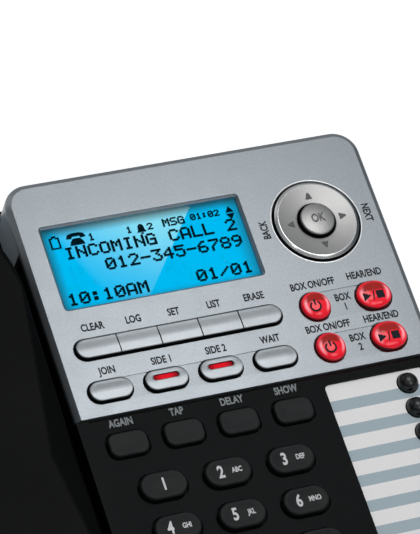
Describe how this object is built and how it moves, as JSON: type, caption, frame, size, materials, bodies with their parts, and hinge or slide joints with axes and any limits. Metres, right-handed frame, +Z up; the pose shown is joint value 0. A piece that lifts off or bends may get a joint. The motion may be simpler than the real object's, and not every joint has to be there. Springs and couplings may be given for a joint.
{
  "type": "corded desk telephone",
  "caption": "Sloping black desk telephone with a silver display panel, round navigation dial, domed keys, dial pad, memory card and a handset lying in a bay on the left.",
  "frame": {"origin": "middle of the footprint on the desk, under the rubber feet", "axes": "+X to the right side, +Y to the rear, +Z up"},
  "size_m": [0.193, 0.19, 0.097],
  "materials": {
    "housing_black": "fine-grained",
    "panel_silver": "metallic silver paint, fine grain",
    "lens_clear": "polished",
    "display_blue": "lit display",
    "board_green": "satin",
    "mat_rubber": "matte",
    "inner_metal": "plain",
    "card_white": "printed stripes",
    "foot_rubber": "matte",
    "socket_black": "satin",
    "handset_black": "fine-grained",
    "key_silver": "metallic silver paint",
    "key_red": "translucent, domed",
    "lamp_red": "translucent",
    "ring_satin": "satin plated",
    "key_black": "satin",
    "key_gloss_black": "gloss"
  },
  "bodies": {
    "base": {"base_plate": "housing_black", "main_housing": "housing_black", "display_panel": "panel_silver", "display_lens": "lens_clear", "lcd_module": "display_blue", "main_board": "board_green", "key_mat": "mat_rubber", "loudspeaker": "inner_metal", "memory_card": "card_white", "rubber_feet": "foot_rubber", "case_screws": "inner_metal", "rear_jacks": "socket_black", "handset_jack": "socket_black"},
    "handset": {"handset_back": "handset_black", "handset_face": "handset_black", "handset_capsules": "inner_metal"},
    "hook_plunger": {"hook_plunger": "socket_black"},
    "soft_key_1": {"soft_key_1": "key_silver"},
    "soft_key_2": {"soft_key_2": "key_silver"},
    "soft_key_3": {"soft_key_3": "key_silver"},
    "soft_key_4": {"soft_key_4": "key_silver"},
    "soft_key_5": {"soft_key_5": "key_silver"},
    "join_key": {"join_key": "key_silver"},
    "line_1_key": {"line_1_key": "key_silver", "line_1_lamp": "lamp_red"},
    "line_2_key": {"line_2_key": "key_silver", "line_2_lamp": "lamp_red"},
    "hold_key": {"hold_key": "key_silver"},
    "answer_key_1": {"answer_key_1": "key_red"},
    "answer_key_2": {"answer_key_2": "key_red"},
    "play_key_1": {"play_key_1": "key_red"},
    "play_key_2": {"play_key_2": "key_red"},
    "nav_carrier": {"nav_carrier": "mat_rubber"},
    "nav_ring": {"nav_ring": "ring_satin"},
    "enter_key": {"enter_key": "ring_satin"},
    "dial_key_1": {"dial_key_1": "key_black"},
    "dial_key_2": {"dial_key_2": "key_black"},
    "dial_key_3": {"dial_key_3": "key_black"},
    "dial_key_4": {"dial_key_4": "key_black"},
    "dial_key_5": {"dial_key_5": "key_black"},
    "dial_key_6": {"dial_key_6": "key_black"},
    "dial_key_7": {"dial_key_7": "key_black"},
    "dial_key_8": {"dial_key_8": "key_black"},
    "dial_key_9": {"dial_key_9": "key_black"},
    "dial_key_star": {"dial_key_star": "key_black"},
    "dial_key_0": {"dial_key_0": "key_black"},
    "dial_key_hash": {"dial_key_hash": "key_black"},
    "redial_key": {"redial_key": "key_black"},
    "flash_key": {"flash_key": "key_black"},
    "pause_key": {"pause_key": "key_black"},
    "preview_key": {"preview_key": "key_black"},
    "mute_key": {"mute_key": "key_black"},
    "speaker_key": {"speaker_key": "key_black"},
    "volume_rocker": {"volume_rocker": "key_black"},
    "memory_key_1": {"memory_key_1": "key_gloss_black"},
    "memory_key_2": {"memory_key_2": "key_gloss_black"},
    "memory_key_3": {"memory_key_3": "key_gloss_black"},
    "memory_key_4": {"memory_key_4": "key_gloss_black"},
    "memory_key_5": {"memory_key_5": "key_gloss_black"},
    "memory_key_6": {"memory_key_6": "key_gloss_black"}
  },
  "joints": [
    {"name": "handset_lift", "type": "slide", "parent": "base", "child": "handset", "axis": [0, -0.3746, 0.9272], "range_m": [0, 0.12]},
    {"name": "hook_rise", "type": "slide", "parent": "base", "child": "hook_plunger", "axis": [0, -0.3746, 0.9272], "range_m": [0, 0.004]},
    {"name": "soft_key_1_press", "type": "slide", "parent": "base", "child": "soft_key_1", "axis": [0, 0.3746, -0.9272], "range_m": [0, 0.0012], "stiffness_N_per_m": 300},
    {"name": "soft_key_2_press", "type": "slide", "parent": "base", "child": "soft_key_2", "axis": [0, 0.3746, -0.9272], "range_m": [0, 0.0012], "stiffness_N_per_m": 300},
    {"name": "soft_key_3_press", "type": "slide", "parent": "base", "child": "soft_key_3", "axis": [0, 0.3746, -0.9272], "range_m": [0, 0.0012], "stiffness_N_per_m": 300},
    {"name": "soft_key_4_press", "type": "slide", "parent": "base", "child": "soft_key_4", "axis": [0, 0.3746, -0.9272], "range_m": [0, 0.0012], "stiffness_N_per_m": 300},
    {"name": "soft_key_5_press", "type": "slide", "parent": "base", "child": "soft_key_5", "axis": [0, 0.3746, -0.9272], "range_m": [0, 0.0012], "stiffness_N_per_m": 300},
    {"name": "join_key_press", "type": "slide", "parent": "base", "child": "join_key", "axis": [0, 0.3746, -0.9272], "range_m": [0, 0.0012], "stiffness_N_per_m": 300},
    {"name": "line_1_key_press", "type": "slide", "parent": "base", "child": "line_1_key", "axis": [0, 0.3746, -0.9272], "range_m": [0, 0.0012], "stiffness_N_per_m": 300},
    {"name": "line_2_key_press", "type": "slide", "parent": "base", "child": "line_2_key", "axis": [0, 0.3746, -0.9272], "range_m": [0, 0.0012], "stiffness_N_per_m": 300},
    {"name": "hold_key_press", "type": "slide", "parent": "base", "child": "hold_key", "axis": [0, 0.3746, -0.9272], "range_m": [0, 0.0012], "stiffness_N_per_m": 300},
    {"name": "answer_key_1_press", "type": "slide", "parent": "base", "child": "answer_key_1", "axis": [0, 0.3746, -0.9272], "range_m": [0, 0.0012], "stiffness_N_per_m": 300},
    {"name": "answer_key_2_press", "type": "slide", "parent": "base", "child": "answer_key_2", "axis": [0, 0.3746, -0.9272], "range_m": [0, 0.0012], "stiffness_N_per_m": 300},
    {"name": "play_key_1_press", "type": "slide", "parent": "base", "child": "play_key_1", "axis": [0, 0.3746, -0.9272], "range_m": [0, 0.0012], "stiffness_N_per_m": 300},
    {"name": "play_key_2_press", "type": "slide", "parent": "base", "child": "play_key_2", "axis": [0, 0.3746, -0.9272], "range_m": [0, 0.0012], "stiffness_N_per_m": 300},
    {"name": "nav_rock_front_rear", "type": "hinge", "parent": "base", "child": "nav_carrier", "pos_m": [0.072, 0.05903, 0.08261], "axis": [1, 0, 0], "range_deg": [-3, 3], "stiffness_Nm_per_rad": 0.1},
    {"name": "nav_rock_left_right", "type": "hinge", "parent": "nav_carrier", "child": "nav_ring", "pos_m": [0.072, 0.05903, 0.08261], "axis": [0, 0.9272, 0.3746], "range_deg": [-3, 3], "stiffness_Nm_per_rad": 0.1},
    {"name": "enter_key_press", "type": "slide", "parent": "base", "child": "enter_key", "axis": [0, 0.3746, -0.9272], "range_m": [0, 0.0012], "stiffness_N_per_m": 300},
    {"name": "dial_key_1_press", "type": "slide", "parent": "base", "child": "dial_key_1", "axis": [0, 0.3746, -0.9272], "range_m": [0, 0.0012], "stiffness_N_per_m": 300},
    {"name": "dial_key_2_press", "type": "slide", "parent": "base", "child": "dial_key_2", "axis": [0, 0.3746, -0.9272], "range_m": [0, 0.0012], "stiffness_N_per_m": 300},
    {"name": "dial_key_3_press", "type": "slide", "parent": "base", "child": "dial_key_3", "axis": [0, 0.3746, -0.9272], "range_m": [0, 0.0012], "stiffness_N_per_m": 300},
    {"name": "dial_key_4_press", "type": "slide", "parent": "base", "child": "dial_key_4", "axis": [0, 0.3746, -0.9272], "range_m": [0, 0.0012], "stiffness_N_per_m": 300},
    {"name": "dial_key_5_press", "type": "slide", "parent": "base", "child": "dial_key_5", "axis": [0, 0.3746, -0.9272], "range_m": [0, 0.0012], "stiffness_N_per_m": 300},
    {"name": "dial_key_6_press", "type": "slide", "parent": "base", "child": "dial_key_6", "axis": [0, 0.3746, -0.9272], "range_m": [0, 0.0012], "stiffness_N_per_m": 300},
    {"name": "dial_key_7_press", "type": "slide", "parent": "base", "child": "dial_key_7", "axis": [0, 0.3746, -0.9272], "range_m": [0, 0.0012], "stiffness_N_per_m": 300},
    {"name": "dial_key_8_press", "type": "slide", "parent": "base", "child": "dial_key_8", "axis": [0, 0.3746, -0.9272], "range_m": [0, 0.0012], "stiffness_N_per_m": 300},
    {"name": "dial_key_9_press", "type": "slide", "parent": "base", "child": "dial_key_9", "axis": [0, 0.3746, -0.9272], "range_m": [0, 0.0012], "stiffness_N_per_m": 300},
    {"name": "dial_key_star_press", "type": "slide", "parent": "base", "child": "dial_key_star", "axis": [0, 0.3746, -0.9272], "range_m": [0, 0.0012], "stiffness_N_per_m": 300},
    {"name": "dial_key_0_press", "type": "slide", "parent": "base", "child": "dial_key_0", "axis": [0, 0.3746, -0.9272], "range_m": [0, 0.0012], "stiffness_N_per_m": 300},
    {"name": "dial_key_hash_press", "type": "slide", "parent": "base", "child": "dial_key_hash", "axis": [0, 0.3746, -0.9272], "range_m": [0, 0.0012], "stiffness_N_per_m": 300},
    {"name": "redial_key_press", "type": "slide", "parent": "base", "child": "redial_key", "axis": [0, 0.3746, -0.9272], "range_m": [0, 0.0012], "stiffness_N_per_m": 300},
    {"name": "flash_key_press", "type": "slide", "parent": "base", "child": "flash_key", "axis": [0, 0.3746, -0.9272], "range_m": [0, 0.0012], "stiffness_N_per_m": 300},
    {"name": "pause_key_press", "type": "slide", "parent": "base", "child": "pause_key", "axis": [0, 0.3746, -0.9272], "range_m": [0, 0.0012], "stiffness_N_per_m": 300},
    {"name": "preview_key_press", "type": "slide", "parent": "base", "child": "preview_key", "axis": [0, 0.3746, -0.9272], "range_m": [0, 0.0012], "stiffness_N_per_m": 300},
    {"name": "mute_key_press", "type": "slide", "parent": "base", "child": "mute_key", "axis": [0, 0.3746, -0.9272], "range_m": [0, 0.0012], "stiffness_N_per_m": 300},
    {"name": "speaker_key_press", "type": "slide", "parent": "base", "child": "speaker_key", "axis": [0, 0.3746, -0.9272], "range_m": [0, 0.0012], "stiffness_N_per_m": 300},
    {"name": "volume_rock", "type": "hinge", "parent": "base", "child": "volume_rocker", "pos_m": [0.0724, -0.07378, 0.0256], "axis": [0, 0.9272, 0.3746], "range_deg": [-3, 3], "stiffness_Nm_per_rad": 0.1},
    {"name": "memory_key_1_press", "type": "slide", "parent": "base", "child": "memory_key_1", "axis": [0, 0.3746, -0.9272], "range_m": [0, 0.0012], "stiffness_N_per_m": 300},
    {"name": "memory_key_2_press", "type": "slide", "parent": "base", "child": "memory_key_2", "axis": [0, 0.3746, -0.9272], "range_m": [0, 0.0012], "stiffness_N_per_m": 300},
    {"name": "memory_key_3_press", "type": "slide", "parent": "base", "child": "memory_key_3", "axis": [0, 0.3746, -0.9272], "range_m": [0, 0.0012], "stiffness_N_per_m": 300},
    {"name": "memory_key_4_press", "type": "slide", "parent": "base", "child": "memory_key_4", "axis": [0, 0.3746, -0.9272], "range_m": [0, 0.0012], "stiffness_N_per_m": 300},
    {"name": "memory_key_5_press", "type": "slide", "parent": "base", "child": "memory_key_5", "axis": [0, 0.3746, -0.9272], "range_m": [0, 0.0012], "stiffness_N_per_m": 300},
    {"name": "memory_key_6_press", "type": "slide", "parent": "base", "child": "memory_key_6", "axis": [0, 0.3746, -0.9272], "range_m": [0, 0.0012], "stiffness_N_per_m": 300}
  ],
  "couplings": [
    {"joint": "hook_rise", "follows": "handset_lift", "ratio": 0.0333}
  ]
}
